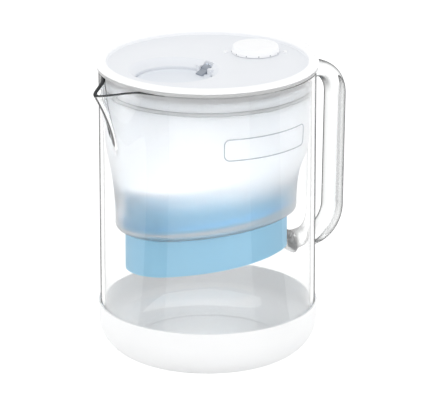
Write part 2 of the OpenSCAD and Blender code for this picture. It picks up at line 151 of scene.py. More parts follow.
# The lid: a raised rim, a recessed panel and a thumb tab
LID_R = high("lid_top").y
LID_TOP = high("lid_top").z
RIM_W = 6.6 * MM
RIM_ROUND = 1.3 * MM
PANEL_TOP = LID_TOP - 2.3 * MM
PANEL_BOTTOM = PANEL_TOP - 2 * MM
PANEL_R = COLLAR_R - HOPPER_WALL - PANEL_GAP
TAB_REACH = high("lid_top").x
TAB_HALF_W = 9.5 * MM
TAB_ROUND = 5 * MM
TAB_ROOT = LID_R - 4 * MM

# The fill opening: a dish, a throat, and a ledge below the flap
FILL_X = (low("flap_gasket").x + high("flap_gasket").x) / 2
FILL_R = 25 * MM
DISH_Z = PANEL_TOP - 5 * MM
DISH_OUT = 4 * MM
THROAT_Z = low("lid_top").z
THROAT_WALL = 2 * MM
LEDGE_Z = low("flap_gasket").z
LEDGE_W = 2.5 * MM

# The flap and its hinge
FLAP_R = FILL_R - FLAP_GAP
FLAP_Z = LEDGE_Z + 0.8 * MM
FLAP_T = 2 * MM
HINGE = (low("hinge_pin") + high("hinge_pin")) / 2
PIN_R = 1 * MM
KNUCKLE_R = 2.2 * MM
KNUCKLE_W = high("hinge_pin").y * 2 - 7.6 * MM
BLOCK_CHEEK = 4 * MM  # block beyond the pocket, at each end of the pin
WEB_TILT = -24  # degrees: it slopes down from the knuckle to the flap
PULL_R = 1.4 * MM
PULL_HALF_W = 7 * MM

# The reminder dial, its marks and the pointers beside it
DIAL_X = (low("dial_knob").x + high("dial_knob").x) / 2
DIAL_R = high("dial_knob").y
DIAL_TOP = high("dial_knob").z
DIAL_Z = PANEL_TOP + DIAL_GAP
DIAL_WALL = 2 * MM
DIAL_SKIRT = 0.35 * MM
STEM_END = low("dial_knob").z
STEM_R = 3 * MM
SCREW_HOLE_R = 1.25 * MM
MARKS = 12
MARK_R = 0.5 * MM
POINTER_TURN = 143  # degrees round the dial, from the handle's side

# ---------- strengths of finishes and lights ----------

GLASS_IOR = 1.47
PLASTIC_IOR = 1.45
RUBBER_IOR = 1.4

# The hopper's frosting: how clear and rough it is, and how much of its upper wall is cloudy
HOPPER_CLEAR = 0.95
HOPPER_ROUGH = 0.3
HOPPER_CLOUD = 0.6
CLOUD_START = HOPPER_BOTTOM + 14 * MM
CLOUD_STOP = HOPPER_BOTTOM + 42 * MM

# The boot's silicone: how much light goes into it, and how far
BOOT_SOFT = 0.3
BOOT_GLOW = 8 * MM

# How much painted shade the glass lip takes away from the spout, where 1 is the spout's
LIP_SHADE = 0.35

# The studio: its floor, its sky by height (0 is below, 0.5 the horizon, 1 above), its softbox, the height,
# size and power of the small lights below the cartridge and in the hopper, and the reach of its dark cards,
# with the degrees from and to which each runs, counted from the side that faces the camera
FLOOR_GLOW = 1.15
FLOOR_Z = -0.2 * MM
WORLD_LIGHT = 1.9
SKY = ((0.15, 0.28), (0.25, 0.50), (0.35, 0.90), (0.475, 1.0), (0.58, 0.68), (0.68, 0.52), (1.0, 0.50))
KEY_LIGHT = 3
KEY_SIZE = 0.9
KEY_PLACE = (-0.9, -1.2, 1.3)
INNER_LIGHTS = (("fill", 62 * MM, 90 * MM, 0.06), ("glow", 178 * MM, 80 * MM, 0.1))
CARD_NEAR = 0.08
CARD_FAR = 0.75
CARDS = (("card_left", -63, -38.4), ("card_right", 42.6, 78.2))

# ---------- the camera ----------

VIEW_TURN = math.radians(37.18)
VIEW_TILT = math.radians(18.36)
VIEW_DISTANCE = 2.5
VIEW_AIM = Vector((-1.4, -14.1, 104)) * MM
VIEW_LENS = 318.1


def make_camera():
    data = bpy.data.cameras.new("camera")
    data.lens = VIEW_LENS
    camera = bpy.data.objects.new("camera", data)
    away = Vector((math.sin(VIEW_TURN), math.cos(VIEW_TURN), -math.tan(VIEW_TILT))).normalized()
    camera.location = VIEW_AIM - away * VIEW_DISTANCE
    camera.rotation_euler = away.to_track_quat("-Z", "Y").to_euler()
    bpy.context.collection.objects.link(camera)
    bpy.context.scene.camera = camera


# ---------- shader and geometry nodes ----------


class Wire:
    """A node's output; sums and products of wires and numbers add Math nodes."""

    def __init__(self, tree, socket):
        self.tree = tree
        self.socket = socket

    def maths(self, operation, a, b):
        return node(self.tree, "ShaderNodeMath", {"operation": operation}, {0: a, 1: b})

    def __add__(self, other):
        return self.maths("ADD", self, other)

    __radd__ = __add__

    def __mul__(self, other):
        return self.maths("MULTIPLY", self, other)

    __rmul__ = __mul__

    def __sub__(self, other):
        return self.maths("SUBTRACT", self, other)

    def __rsub__(self, other):
        return self.maths("SUBTRACT", other, self)

    def __pow__(self, other):
        return self.maths("POWER", self, other)


def node(tree, kind, settings=None, inputs=None, out=0):
    """Adds a node: its settings first, then its sockets' values or wires. Gives its output as a wire."""
    made = tree.nodes.new(kind)
    for name, value in (settings or {}).items():
        if name == "stops":
            ramp_stops(made.color_ramp, value)
        else:
            setattr(made, name, value)
    for socket, value in (inputs or {}).items():
        if isinstance(value, Wire):
            tree.links.new(value.socket, made.inputs[socket])
        else:
            made.inputs[socket].default_value = value
    return Wire(tree, made.outputs[out]) if len(made.outputs) else made


def ramp_stops(ramp, stops):
    """Gives a colour ramp its stops, from pairs of a place and a grey."""
    while len(ramp.elements) > 1:
        ramp.elements.remove(ramp.elements[-1])
    ramp.elements[0].position = stops[0][0]
    for place, _ in stops[1:]:
        ramp.elements.new(place)
    for element, (_, grey) in zip(ramp.elements, stops):
        element.color = (grey, grey, grey, 1)


def smooth_step(tree, value, start, stop):
    """0 before start, 1 after stop, and smooth between them."""
    return node(tree, "ShaderNodeMapRange", {"interpolation_type": "SMOOTHSTEP"},
                {"Value": value, "From Min": start, "From Max": stop})


def blend_colours(tree, share, a, b):
    return node(tree, "ShaderNodeMix", {"data_type": "RGBA"}, {0: share, 6: a, 7: b}, out=2)


def place_on_piece(tree):
    """The piece's own coordinates, which are the frame's."""
    return node(tree, "ShaderNodeTexCoord", out=3)


def grain(tree, scale, detail=3.0, roughness=0.5):
    return node(tree, "ShaderNodeTexNoise", {},
                {"Vector": place_on_piece(tree), "Scale": scale, "Detail": detail, "Roughness": roughness})


def along_axis(tree, axis):
    """How far along X, Y or Z, which are 0, 1 and 2, a point of the piece lies."""
    return node(tree, "ShaderNodeSeparateXYZ", {}, {0: place_on_piece(tree)}, out=axis)


def bumps(tree, height, distance, strength=1.0):
    return node(tree, "ShaderNodeBump", {}, {"Height": height, "Distance": distance, "Strength": strength})


def finish_named(name, build):
    """A material whose Principled shader takes what build(tree) gives for its sockets."""
    material = bpy.data.materials.new(name)
    material.use_nodes = True
    tree = material.node_tree
    tree.nodes.clear()
    shader = node(tree, "ShaderNodeBsdfPrincipled", {}, build(tree))
    node(tree, "ShaderNodeOutputMaterial", {}, {"Surface": shader})
    return material


def painted_lip_shade(tree):
    """How much painted shade a point of the jug's lip takes, from its rim attribute."""
    return node(tree, "ShaderNodeAttribute", {"attribute_name": "rim"}, out=2)


def clear_glass(tree):
    """The jug's glass, with faint waves in its wall and a lip painted darker as painted shade."""
    rim = painted_lip_shade(tree)
    waves = grain(tree, 22.0, 1.0)
    # Painted shade: the lip's colour turns dark grey by its rim attribute
    return {"Base Color": blend_colours(tree, rim, (0.997, 0.998, 0.998, 1), (0.13, 0.135, 0.14, 1)),
            "Roughness": 0.0, "IOR": GLASS_IOR, "Transmission Weight": 1.0,
            "Normal": bumps(tree, waves, 0.05 * MM)}


def bar_glass(tree):
    """The handle's thick glass bar."""
    waves = grain(tree, 40.0, 1.0)
    return {"Base Color": (0.97, 0.98, 0.98, 1), "Roughness": 0.0, "IOR": GLASS_IOR,
            "Transmission Weight": 1.0, "Normal": bumps(tree, waves, 0.1 * MM)}


def mix_over(material, share, sockets):
    """Mixes a second Principled shader over the material's own one, by share."""
    tree = material.node_tree
    surface = next(n for n in tree.nodes if n.type == "OUTPUT_MATERIAL").inputs["Surface"]
    own = Wire(tree, surface.links[0].from_socket)
    over = node(tree, "ShaderNodeBsdfPrincipled", {}, sockets)
    both = node(tree, "ShaderNodeMixShader", {}, {0: share, 1: own, 2: over})
    tree.links.new(both.socket, surface)


def paint_edge_shade(material, start, stop, share):
    """Painted shade: where a glass wall is seen end on, and on the spout's lip, a dark matt shader is mixed
    over the glass.
    """
    tree = material.node_tree
    facing = node(tree, "ShaderNodeLayerWeight", {}, {"Blend": 0.5}, out=1)
    # Painted shade: the lip by its rim attribute, the walls where they are seen end on
    lip = smooth_step(tree, painted_lip_shade(tree), 0.4, 0.9) * 0.85
    wall = smooth_step(tree, facing, start, stop) * share
    edge = node(tree, "ShaderNodeMath", {"operation": "MAXIMUM"}, {0: lip, 1: wall})
    mix_over(material, edge, {"Base Color": (0.05, 0.052, 0.055, 1), "Roughness": 0.3,
                              "Specular IOR Level": 0.0})


def frosted_plastic(tree):
    """Clear plastic with a fine matt texture, which blurs what is behind it."""
    speckle = grain(tree, 900.0, 2.0)
    return {"Base Color": (0.978, 0.985, 0.995, 1), "Roughness": HOPPER_ROUGH + speckle * 0.08, "IOR": 1.25,
            "Transmission Weight": HOPPER_CLEAR, "Normal": bumps(tree, speckle, 0.02 * MM)}


def cloud_upper_wall(material):
    """The hopper's frosting is denser in its upper part and clears towards the pocket."""
    tree = material.node_tree
    cloudy = smooth_step(tree, along_axis(tree, 2), CLOUD_START, CLOUD_STOP) * HOPPER_CLOUD
    mix_over(material, cloudy, {"Base Color": (0.97, 0.98, 0.99, 1), "Roughness": 0.5,
                                "Subsurface Weight": 0.8, "Subsurface Radius": (1, 1, 1),
                                "Subsurface Scale": 6 * MM})


def plate_line_painted_shade(tree):
    """The raised line round the name plate, polished, and painted grey as painted shade, so it draws darker
    than the matt wall.
    """
    speckle = grain(tree, 900.0, 2.0)
    # Painted shade: the raised line is coloured grey
    return {"Base Color": blend_colours(tree, speckle, (0.66, 0.69, 0.73, 1), (0.72, 0.75, 0.79, 1)),
            "Roughness": 0.2, "IOR": 1.4, "Transmission Weight": 0.4}


def moulded(tree, pattern, shades, roughness, spread, bump, ior=PLASTIC_IOR):
    """Plastic or rubber whose pattern varies its shade and roughness, and stands out by bump."""
    return {"Base Color": blend_colours(tree, pattern, *shades), "Roughness": roughness + pattern * spread,
            "IOR": ior, "Normal": bumps(tree, pattern, bump)}


def ring_silicone(tree):
    cloud = grain(tree, 150.0)
    whites = ((0.86, 0.88, 0.89, 1), (0.93, 0.94, 0.95, 1))
    return moulded(tree, cloud, whites, 0.35, 0.1, 0.03 * MM, RUBBER_IOR)


def seal_silicone(tree):
    """The wiper seal's silicone, whose two lips are painted dark grey as painted shade, so they draw as dark
    lines behind the glass.
    """
    seal_h = SEAL_TOP - SEAL_Z
    above = along_axis(tree, 2) - SEAL_MIDDLE
    off_middle = node(tree, "ShaderNodeMath", {"operation": "ABSOLUTE"}, {0: above})
    # Painted shade: the seal's two lips turn dark grey
    lip_lines_painted_shade = smooth_step(tree, off_middle, 0.3 * seal_h, 0.5 * seal_h) * 0.8
    sockets = ring_silicone(tree)
    sockets["Base Color"] = blend_colours(tree, lip_lines_painted_shade, sockets["Base Color"], (0.30, 0.32, 0.33, 1))
    sockets["Transmission Weight"] = 0.3
    return sockets


def lid_plastic(tree):
    """Satin white moulded plastic: a white rim round a panel with a trace of blue, the panel painted greyer
    than the rim as painted shade.
    """
    cloud = grain(tree, 60.0)
    speckle = grain(tree, 1400.0, 2.0)
    x, y = along_axis(tree, 0), along_axis(tree, 1)
    radius = (x * x + y * y) ** 0.5
    rim = smooth_step(tree, radius, LID_R - RIM_W - MM, LID_R - RIM_W + MM)
    # Painted shade: the recessed panel is greyer than the rim
    panel_painted_shade = blend_colours(tree, cloud, (0.79, 0.81, 0.85, 1), (0.82, 0.84, 0.87, 1))
    return {"Base Color": blend_colours(tree, rim, panel_painted_shade, (0.96, 0.965, 0.97, 1)),
            "Roughness": 0.38 + speckle * 0.1, "IOR": PLASTIC_IOR, "Normal": bumps(tree, speckle, 0.012 * MM)}


def flap_painted_shade(tree):
    """The flap's plastic, painted a little greyer than the lid's as painted shade of the opening it sits in.
    """
    speckle = grain(tree, 1400.0, 2.0)
    return moulded(tree, speckle, ((0.74, 0.78, 0.83, 1), (0.78, 0.81, 0.86, 1)), 0.3, 0.1, 0.012 * MM)


def knuckle_painted_shade(tree):
    """The flap's knuckle, glossy plastic painted dark grey as painted shade of its hinge notch."""
    speckle = grain(tree, 900.0, 2.0)
    return {"Base Color": blend_colours(tree, speckle, (0.27, 0.30, 0.35, 1), (0.31, 0.34, 0.39, 1)),
            "Roughness": 0.16 + speckle * 0.05, "IOR": 1.5}


def dial_plastic(tree):
    speckle = grain(tree, 1400.0, 2.0)
    return moulded(tree, speckle, ((0.90, 0.91, 0.925, 1), (0.93, 0.935, 0.94, 1)), 0.34, 0.08, 0.01 * MM)


def boot_silicone(tree):
    """Soft white silicone, matt, with light spreading a little way under its surface."""
    cloud = grain(tree, 70.0)
    speckle = grain(tree, 1100.0, 2.0)
    return {"Base Color": blend_colours(tree, cloud, (0.885, 0.89, 0.895, 1), (0.905, 0.91, 0.91, 1)),
            "Roughness": 0.5 + speckle * 0.1, "IOR": RUBBER_IOR, "Subsurface Weight": BOOT_SOFT,
            "Subsurface Radius": (1, 1, 1), "Subsurface Scale": BOOT_GLOW,
            "Normal": bumps(tree, speckle, 0.015 * MM)}


def cartridge_blue(tree):
    speckle = grain(tree, 1000.0, 2.0)
    cloud = grain(tree, 40.0)
    return {"Base Color": blend_colours(tree, cloud, (0.33, 0.70, 0.97, 1), (0.36, 0.73, 0.98, 1)),
            "Roughness": 0.42 + speckle * 0.1, "IOR": PLASTIC_IOR, "Normal": bumps(tree, speckle, 0.015 * MM)}


def cap_blue(tree):
    """A much paler blue than the shell's."""
    speckle = grain(tree, 1000.0, 2.0)
    return moulded(tree, speckle, ((0.90, 0.95, 0.98, 1), (0.93, 0.97, 0.99, 1)), 0.42, 0.1, 0.015 * MM)


def felt(tree):
    fibres = grain(tree, 2600.0, 4.0, 0.7)
    return {"Base Color": blend_colours(tree, fibres, (0.80, 0.80, 0.77, 1), (0.93, 0.93, 0.91, 1)),
            "Roughness": 0.95, "Normal": bumps(tree, fibres, 0.15 * MM)}


def granules(tree, scale, dark, light, distance):
    cells = node(tree, "ShaderNodeTexVoronoi", {}, {"Vector": place_on_piece(tree), "Scale": scale})
    return {"Base Color": blend_colours(tree, smooth_step(tree, cells, 0.1, 0.9), light, dark),
            "Roughness": 0.55 + cells * 0.4, "Normal": bumps(tree, 1 - cells, distance)}


def carbon(tree):
    return granules(tree, 1300.0, (0.008, 0.008, 0.009, 1), (0.045, 0.045, 0.05, 1), 0.4 * MM)


def resin(tree):
    return granules(tree, 1700.0, (0.42, 0.28, 0.10, 1), (0.80, 0.62, 0.32, 1), 0.3 * MM)


def steel(tree):
    return {"Base Color": (0.62, 0.63, 0.64, 1), "Metallic": 1.0,
            "Roughness": 0.22 + grain(tree, 3000.0, 2.0) * 0.14}


def screen_steel(tree):
    """A fine woven steel screen."""
    threads = node(tree, "ShaderNodeTexChecker", {}, {"Vector": place_on_piece(tree), "Scale": 2500.0}, out=1)
    return {"Base Color": (0.55, 0.56, 0.57, 1), "Metallic": 1.0, "Roughness": 0.3 + threads * 0.2,
            "Normal": bumps(tree, threads, 0.1 * MM)}


def mark_grey(tree):
    cloud = grain(tree, 500.0)
    return {"Base Color": blend_colours(tree, cloud, (0.40, 0.42, 0.45, 1), (0.48, 0.50, 0.52, 1)),
            "Roughness": 0.5}


FINISHES = {build.__name__: finish_named(build.__name__, build) for build in (
    clear_glass, bar_glass, frosted_plastic, plate_line_painted_shade, seal_silicone, ring_silicone, lid_plastic,
    flap_painted_shade, knuckle_painted_shade, dial_plastic, boot_silicone, cartridge_blue, cap_blue, felt, carbon, resin,
    steel, screen_steel, mark_grey)}

paint_edge_shade(FINISHES["clear_glass"], 0.80, 0.93, 0.9)
paint_edge_shade(FINISHES["bar_glass"], 0.25, 0.90, 0.9)
cloud_upper_wall(FINISHES["frosted_plastic"])

# ---------- outlines and meshes ----------

ROUND_STEPS = 192
FINE_STEPS = 240
CREASE = math.radians(40)


def unit(v):
    return v / np.linalg.norm(v)


def rounded(corners, steps=6):
    """The open outline through corners (x, y, radius), with each corner rounded to its radius."""
    points = [np.array(c[:2], float) for c in corners]
    out = [points[0]]
    for before, at, after, corner in zip(points, points[1:], points[2:], corners[1:]):
        radius = corner[2]
        if radius == 0:
            out.append(at)
            continue
        a, b = unit(before - at), unit(after - at)
        half = math.acos(np.clip(a @ b, -1, 1)) / 2
        centre = at + unit(a + b) * radius / math.sin(half)
        start = at + a * radius / math.tan(half) - centre
        stop = at + b * radius / math.tan(half) - centre
        turn = math.atan2(start[0] * stop[1] - start[1] * stop[0], start @ stop)
        for k in range(steps + 1):
            t = turn * k / steps
            out.append(centre + [start[0] * math.cos(t) - start[1] * math.sin(t),
                                 start[0] * math.sin(t) + start[1] * math.cos(t)])
    out.append(points[-1])
    return out


def mesh_piece(name, points, faces, finish):
    mesh = bpy.data.meshes.new(name)
    mesh.from_pydata([tuple(p) for p in points], [], faces)
    mesh.materials.append(FINISHES[finish])
    return new_piece(name, mesh)


def new_piece(name, mesh):
    piece = bpy.data.objects.new(name, mesh)
    bpy.context.collection.objects.link(piece)
    shade(piece)
    return piece


def shade(piece):
    """Shades a piece smooth and keeps its creases."""
    piece.data.polygons.foreach_set("use_smooth", [True] * len(piece.data.polygons))
    piece.data.set_sharp_from_angle(angle=CREASE)


def skin(name, rows, finish, closed=False):
    """A mesh through rows of points that run up its outside, each row anticlockwise seen from above.

    A row of one point is a pole. closed joins the last row to the first.
    """
    rows = [np.atleast_2d(row) for row in rows]
    starts = np.cumsum([0] + [len(row) for row in rows])
    pairs = [(k, k + 1) for k in range(len(rows) - 1)]
    if closed:
        pairs.append((len(rows) - 1, 0))
    faces = []
    for k, m in pairs:
        a, b = int(starts[k]), int(starts[m])
        n = max(len(rows[k]), len(rows[m]))
        for i in range(n):
            j = (i + 1) % n
            if len(rows[k]) == 1:
                faces.append((a, b + j, b + i))
            elif len(rows[m]) == 1:
                faces.append((a + i, a + j, b))
            else:
                faces.append((a + i, a + j, b + j, b + i))
    return mesh_piece(name, np.vstack(rows), faces, finish)


def circle(r, z, x=0.0, steps=ROUND_STEPS):
    if r < 1e-9:
        return np.array([[x, 0, z]])
    t = np.arange(steps) * 2 * math.pi / steps
    return np.stack([x + r * np.cos(t), r * np.sin(t), np.full(steps, z)], 1)


def lathe(name, outline, finish, x=0.0, steps=ROUND_STEPS, closed=False):
    """A solid turned from an outline of (radius, height) that runs up its outside."""
    return skin(name, [circle(r, z, x, steps) for r, z in outline], finish, closed)


def block(name, corner, opposite, radius, finish):
    """A box with rounded edges."""
    made = bmesh.new()
    bmesh.ops.create_cube(made, size=1)
    size = Vector(opposite) - Vector(corner)
    middle = (Vector(opposite) + Vector(corner)) / 2
    for v in made.verts:
        v.co = Vector(a * b for a, b in zip(v.co, size)) + middle
    if radius:
        bmesh.ops.bevel(made, geom=list(made.edges), offset=radius, segments=4, profile=0.5, affect="EDGES")
    mesh = bpy.data.meshes.new(name)
    made.to_mesh(mesh)
    made.free()
    mesh.materials.append(FINISHES[finish])
    return new_piece(name, mesh)


def combine(piece, other, operation):
    """Joins other to piece, or cuts it out of piece."""
    change = piece.modifiers.new("combine", "BOOLEAN")
    change.operation = operation
    change.object = other
    change.solver = "EXACT"
    made = bpy.data.meshes.new_from_object(piece.evaluated_get(bpy.context.evaluated_depsgraph_get()))
    piece.modifiers.clear()
    piece.data = made
    bpy.data.objects.remove(other)
    shade(piece)


def turn_about_y(piece, centre, degrees):
    """Turns a piece about the line along Y through centre."""
    a = math.radians(degrees)
    for v in piece.data.vertices:
        x, z = v.co.x - centre.x, v.co.z - centre.z
        v.co.x = centre.x + x * math.cos(a) + z * math.sin(a)
        v.co.z = centre.z - x * math.sin(a) + z * math.cos(a)


def lay_along_y(piece, middle):
    """Turns a piece made along Z to lie along Y, with its origin at middle."""
    for v in piece.data.vertices:
        v.co = Vector((v.co.x + middle.x, v.co.z + middle.y, middle.z - v.co.y))


def settle(piece, body, slot, *nodes):
    """The piece rides on body and stands for the nodes; slot is not used."""
    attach(piece, body)
    if nodes:
        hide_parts(*nodes)


def dress(node_name, finish):
    """A carried-over node keeps its shape and gets its finish."""
    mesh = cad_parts[node_name].data
    mesh.materials.clear()
    mesh.materials.append(FINISHES[finish])


# ---------- the glass ----------

SPOUT_POINTS = 90
ROUND_POINTS = 210
PLAIN_SHARE = 0.62  # share of the wall's height with nothing but the round body


def spout_x(y, s):
    """The spout's outside at lateral place y; s is 0 at the rim and 1 where it has run out."""
    width = SPOUT_HALF_W * (1 - SPOUT_NARROWING * s)
    reach = SPOUT_OUT * (1 - s) ** SPOUT_CURVE * np.exp(-(np.abs(y) / width) ** SPOUT_BELL)
    return -np.sqrt(JUG_R ** 2 - y ** 2) - reach


def jug_plan():
    """The places round the jug: the angles of the round part, then the spout's lateral places."""
    edge = math.pi - math.asin(SPOUT_SIDE / JUG_R)
    angles = np.linspace(-edge, edge, ROUND_POINTS)
    sides = np.linspace(SPOUT_SIDE, -SPOUT_SIDE, SPOUT_POINTS + 2)[1:-1]
    return angles, sides


def jug_wall(z):
    """The jug's outside at heights z: a point for each place round the plan, and its plan normal."""
    angles, sides = jug_plan()
    n = len(angles)
    s = np.clip((JUG_TOP - SPOUT_DIP - GLASS_WALL / 2 - z[n:]) / SPOUT_DROP, 0, 1)
    step = 0.05 * MM
    slope = (spout_x(sides + step, s) - spout_x(sides - step, s)) / (2 * step)
    ways = np.concatenate([np.stack([np.cos(angles), np.sin(angles)], 1),
                           np.stack([-np.ones_like(slope), slope], 1) / np.hypot(1, slope)[:, None]])
    plan = np.concatenate([JUG_R * ways[:n], np.stack([spout_x(sides, s), sides], 1)])
    return np.column_stack([plan, z]), np.column_stack([ways, np.zeros(len(z))])


def jug_rim():
    """The height of the glass rim at each place round the plan: it dips over the spout."""
    angles, sides = jug_plan()
    out = np.maximum(0, -spout_x(sides, np.zeros_like(sides)) - JUG_R)
    return np.concatenate([np.full(len(angles), JUG_TOP), JUG_TOP - out * SPOUT_DIP / SPOUT_OUT])


def foot_rows(r, corner, z):
    """Rows from the axis out over a flat bottom and up a rounded foot, for a wall of radius r."""
    angles, sides = jug_plan()
    t = np.concatenate([angles, math.pi - np.arcsin(sides / JUG_R)])
    outline = rounded([(0, z, 0), (r, z, corner), (r, z + 1.2 * corner, 0)], 18)[:-1]
    rows = [np.array([[0, 0, z]])]
    for radius, height in outline[1:]:
        rows.append(np.column_stack([radius * np.cos(t), radius * np.sin(t), np.full(len(t), height)]))
    return rows


def glass_jug():
    """Rows up the outside, over the rounded lip and down the inside, closer together where the spout is."""
    half = GLASS_WALL / 2
    top = jug_rim() - half
    foot = foot_rows(JUG_R, FOOT_R, JUG_BOTTOM)
    inner_foot = foot_rows(JUG_R - GLASS_WALL, FOOT_R - GLASS_WALL, JUG_BOTTOM + GLASS_FLOOR)
    start = JUG_BOTTOM + 1.15 * FOOT_R
    levels = np.concatenate([np.linspace(0, PLAIN_SHARE, 10), np.linspace(PLAIN_SHARE, 1, 44)[1:]])
    walls = [jug_wall(start + (top - start) * level) for level in levels]
    outside = [p for p, n in walls]
    inside = [p - n * GLASS_WALL for p, n in reversed(walls)]
    inside[-1][:, 2] = JUG_BOTTOM + GLASS_FLOOR + 1.1 * (FOOT_R - GLASS_WALL)
    point, way = walls[-1]
    middle = point - way * half
    up = np.array([0, 0, 1.0])
    lip = [middle + half * (math.cos(a) * way + math.sin(a) * up) for a in np.linspace(0, math.pi, 9)[1:-1]]
    piece = skin("glass_jug_body", foot + outside + lip + inside + inner_foot[::-1], "clear_glass")
    paint_lip_shade(piece, len(foot) + len(outside), len(lip), len(top))
    settle(piece, "jug", "clear_glass", "glass_jug")


def paint_lip_shade(piece, first, rows, n):
    """The rim attribute: how much painted shade the rounded lip takes, most of all round the spout.

    Row 0 is one point and every other row has n; the lip is that many rows from row first on.
    """
    angles, sides = jug_plan()
    round_share = np.full(len(angles), LIP_SHADE)
    spout_share = LIP_SHADE + (1 - LIP_SHADE) * np.clip(1.4 - np.abs(sides) / SPOUT_SIDE, 0, 1)
    share = np.concatenate([round_share, spout_share])
    values = np.zeros(len(piece.data.vertices))
    for k in range(first, first + rows):
        a = 1 + (k - 1) * n
        values[a:a + n] = share
    piece.data.attributes.new("rim", "FLOAT", "POINT").data.foreach_set("value", values)


def bar_bend(x, z, start, stop):
    """A bend of the bar's middle line about (x, z), as points (x, z, outward angle)."""
    turns = np.linspace(start, stop, 22)
    return [(x + BAR_BEND * math.cos(t), z + BAR_BEND * math.sin(t), t) for t in turns]


def handle_line():
    """The bar's middle line past its arms: the upper bend, the leaning grip and the lower bend."""
    lean = math.atan2(GRIP_LEAN, ARM_Z - LOW_ARM_Z)
    upper = bar_bend(GRIP_X - BAR_BEND, ARM_Z - BAR_BEND, math.pi / 2, -lean)
    lower = bar_bend(GRIP_X - GRIP_LEAN - BAR_BEND, LOW_ARM_Z + BAR_BEND, -lean, -math.pi / 2)
    (x0, z0, _), (x1, z1, _) = upper[-1], lower[0]
    grip = [(x0 + (x1 - x0) * f, z0 + (z1 - z0) * f, -lean) for f in np.linspace(0, 1, 14)[1:-1]]
    return upper + grip + lower


def bar_section(steps=56):
    """The bar's outline: u across its thickness, v across its width."""
    t = np.arange(steps) * 2 * math.pi / steps
    c, s = np.cos(t), -np.sin(t)
    u = np.sign(c) * np.abs(c) ** BAR_SQUARENESS * BAR_T / 2
    v = np.sign(s) * np.abs(s) ** BAR_SQUARENESS * BAR_W / 2
    return u, v


def arm_rows(x_far, z_arm, up):
    """Rows of an arm from the wall out to x_far; it flares where it is fused to the wall."""
    u, v = bar_section()
    r = JUG_R + BAR_FIT
    rows = [np.array([[r, 0, z_arm]])]
    for share in (0.3, 0.6, 0.85):
        y = v * share * (1 + BAR_FLARE)
        rows.append(np.column_stack([np.sqrt(r * r - y * y), y, z_arm + up * u * share * (1 + BAR_FLARE)]))
    for f in np.linspace(0, 1, 14)[:-1]:
        grow = 1 + BAR_FLARE * max(0, 1 - f / FLARE_RUN) ** FLARE_FALL
        y = v * grow
        x = np.sqrt(r * r - y * y) * (1 - f) + x_far * f
        rows.append(np.column_stack([x, y, z_arm + up * u * grow]))
    return rows


def glass_handle():
    u, v = bar_section()
    line = [np.column_stack([x + u * math.cos(t), v, z + u * math.sin(t)]) for x, z, t in handle_line()]
    upper = arm_rows(GRIP_X - BAR_BEND, ARM_Z, 1)
    lower = arm_rows(GRIP_X - GRIP_LEAN - BAR_BEND, LOW_ARM_Z, -1)
    piece = skin("glass_handle_bar", upper + line + lower[::-1], "bar_glass")
    settle(piece, "jug", "clear_glass", "glass_handle")


# ---------- the boot ----------


def boot():
    inner_r = JUG_R + BOOT_GAP
    floor_z = JUG_BOTTOM - BOOT_GAP
    corner = FOOT_R + BOOT_WALL
    outline = rounded([(0, 0, 0), (BOOT_R, 0, corner), (BOOT_R, BOOT_TOP, BOOT_LIP),
                       (inner_r, BOOT_TOP, BOOT_LIP), (inner_r, floor_z, FOOT_R), (0, floor_z, 0)], 20)
    piece = lathe("foot_boot", outline, "boot_silicone", steps=FINE_STEPS)
    settle(piece, "jug", "white_boot", "base_boot")


# ---------- the hopper ----------

HOPPER_STEPS = 300


def oval_reach(t, a, b, e):
    """Distance from the middle of a four-arc oval to its edge in direction t."""
    c, s, d = np.abs(np.cos(t)), np.abs(np.sin(t)), a - e
    h = (d ** 2 - (b - e) ** 2) / (2 * (b - e))
    r = b + h
    far = math.hypot(d, h)
    end = s * (r * d / far) < c * (r * h / far - h)
    return np.where(end, d * c + np.sqrt(np.maximum(0, e * e - (d * s) ** 2)),
                    np.sqrt(r * r - (h * c) ** 2) - h * s)


def hopper_reach(t, z):
    """How far the hopper's outside lies from its axis, in directions t at height z."""
    round_r = COLLAR_R - COLLAR_STEP - DRAFT * (COLLAR_Z - z)
    u = min(1, max(0, (z - POCKET_TOP) / BLEND_H))
    k = 1 - u * u * (3 - 2 * u)
    return round_r + k * (oval_reach(t, POCKET_A, POCKET_B, POCKET_END_R) - round_r)


def polar_row(t, r, z):
    """A row of points round the axis: in directions t, r away."""
    return np.column_stack([r * np.cos(t), r * np.sin(t), np.full(len(t), z)])


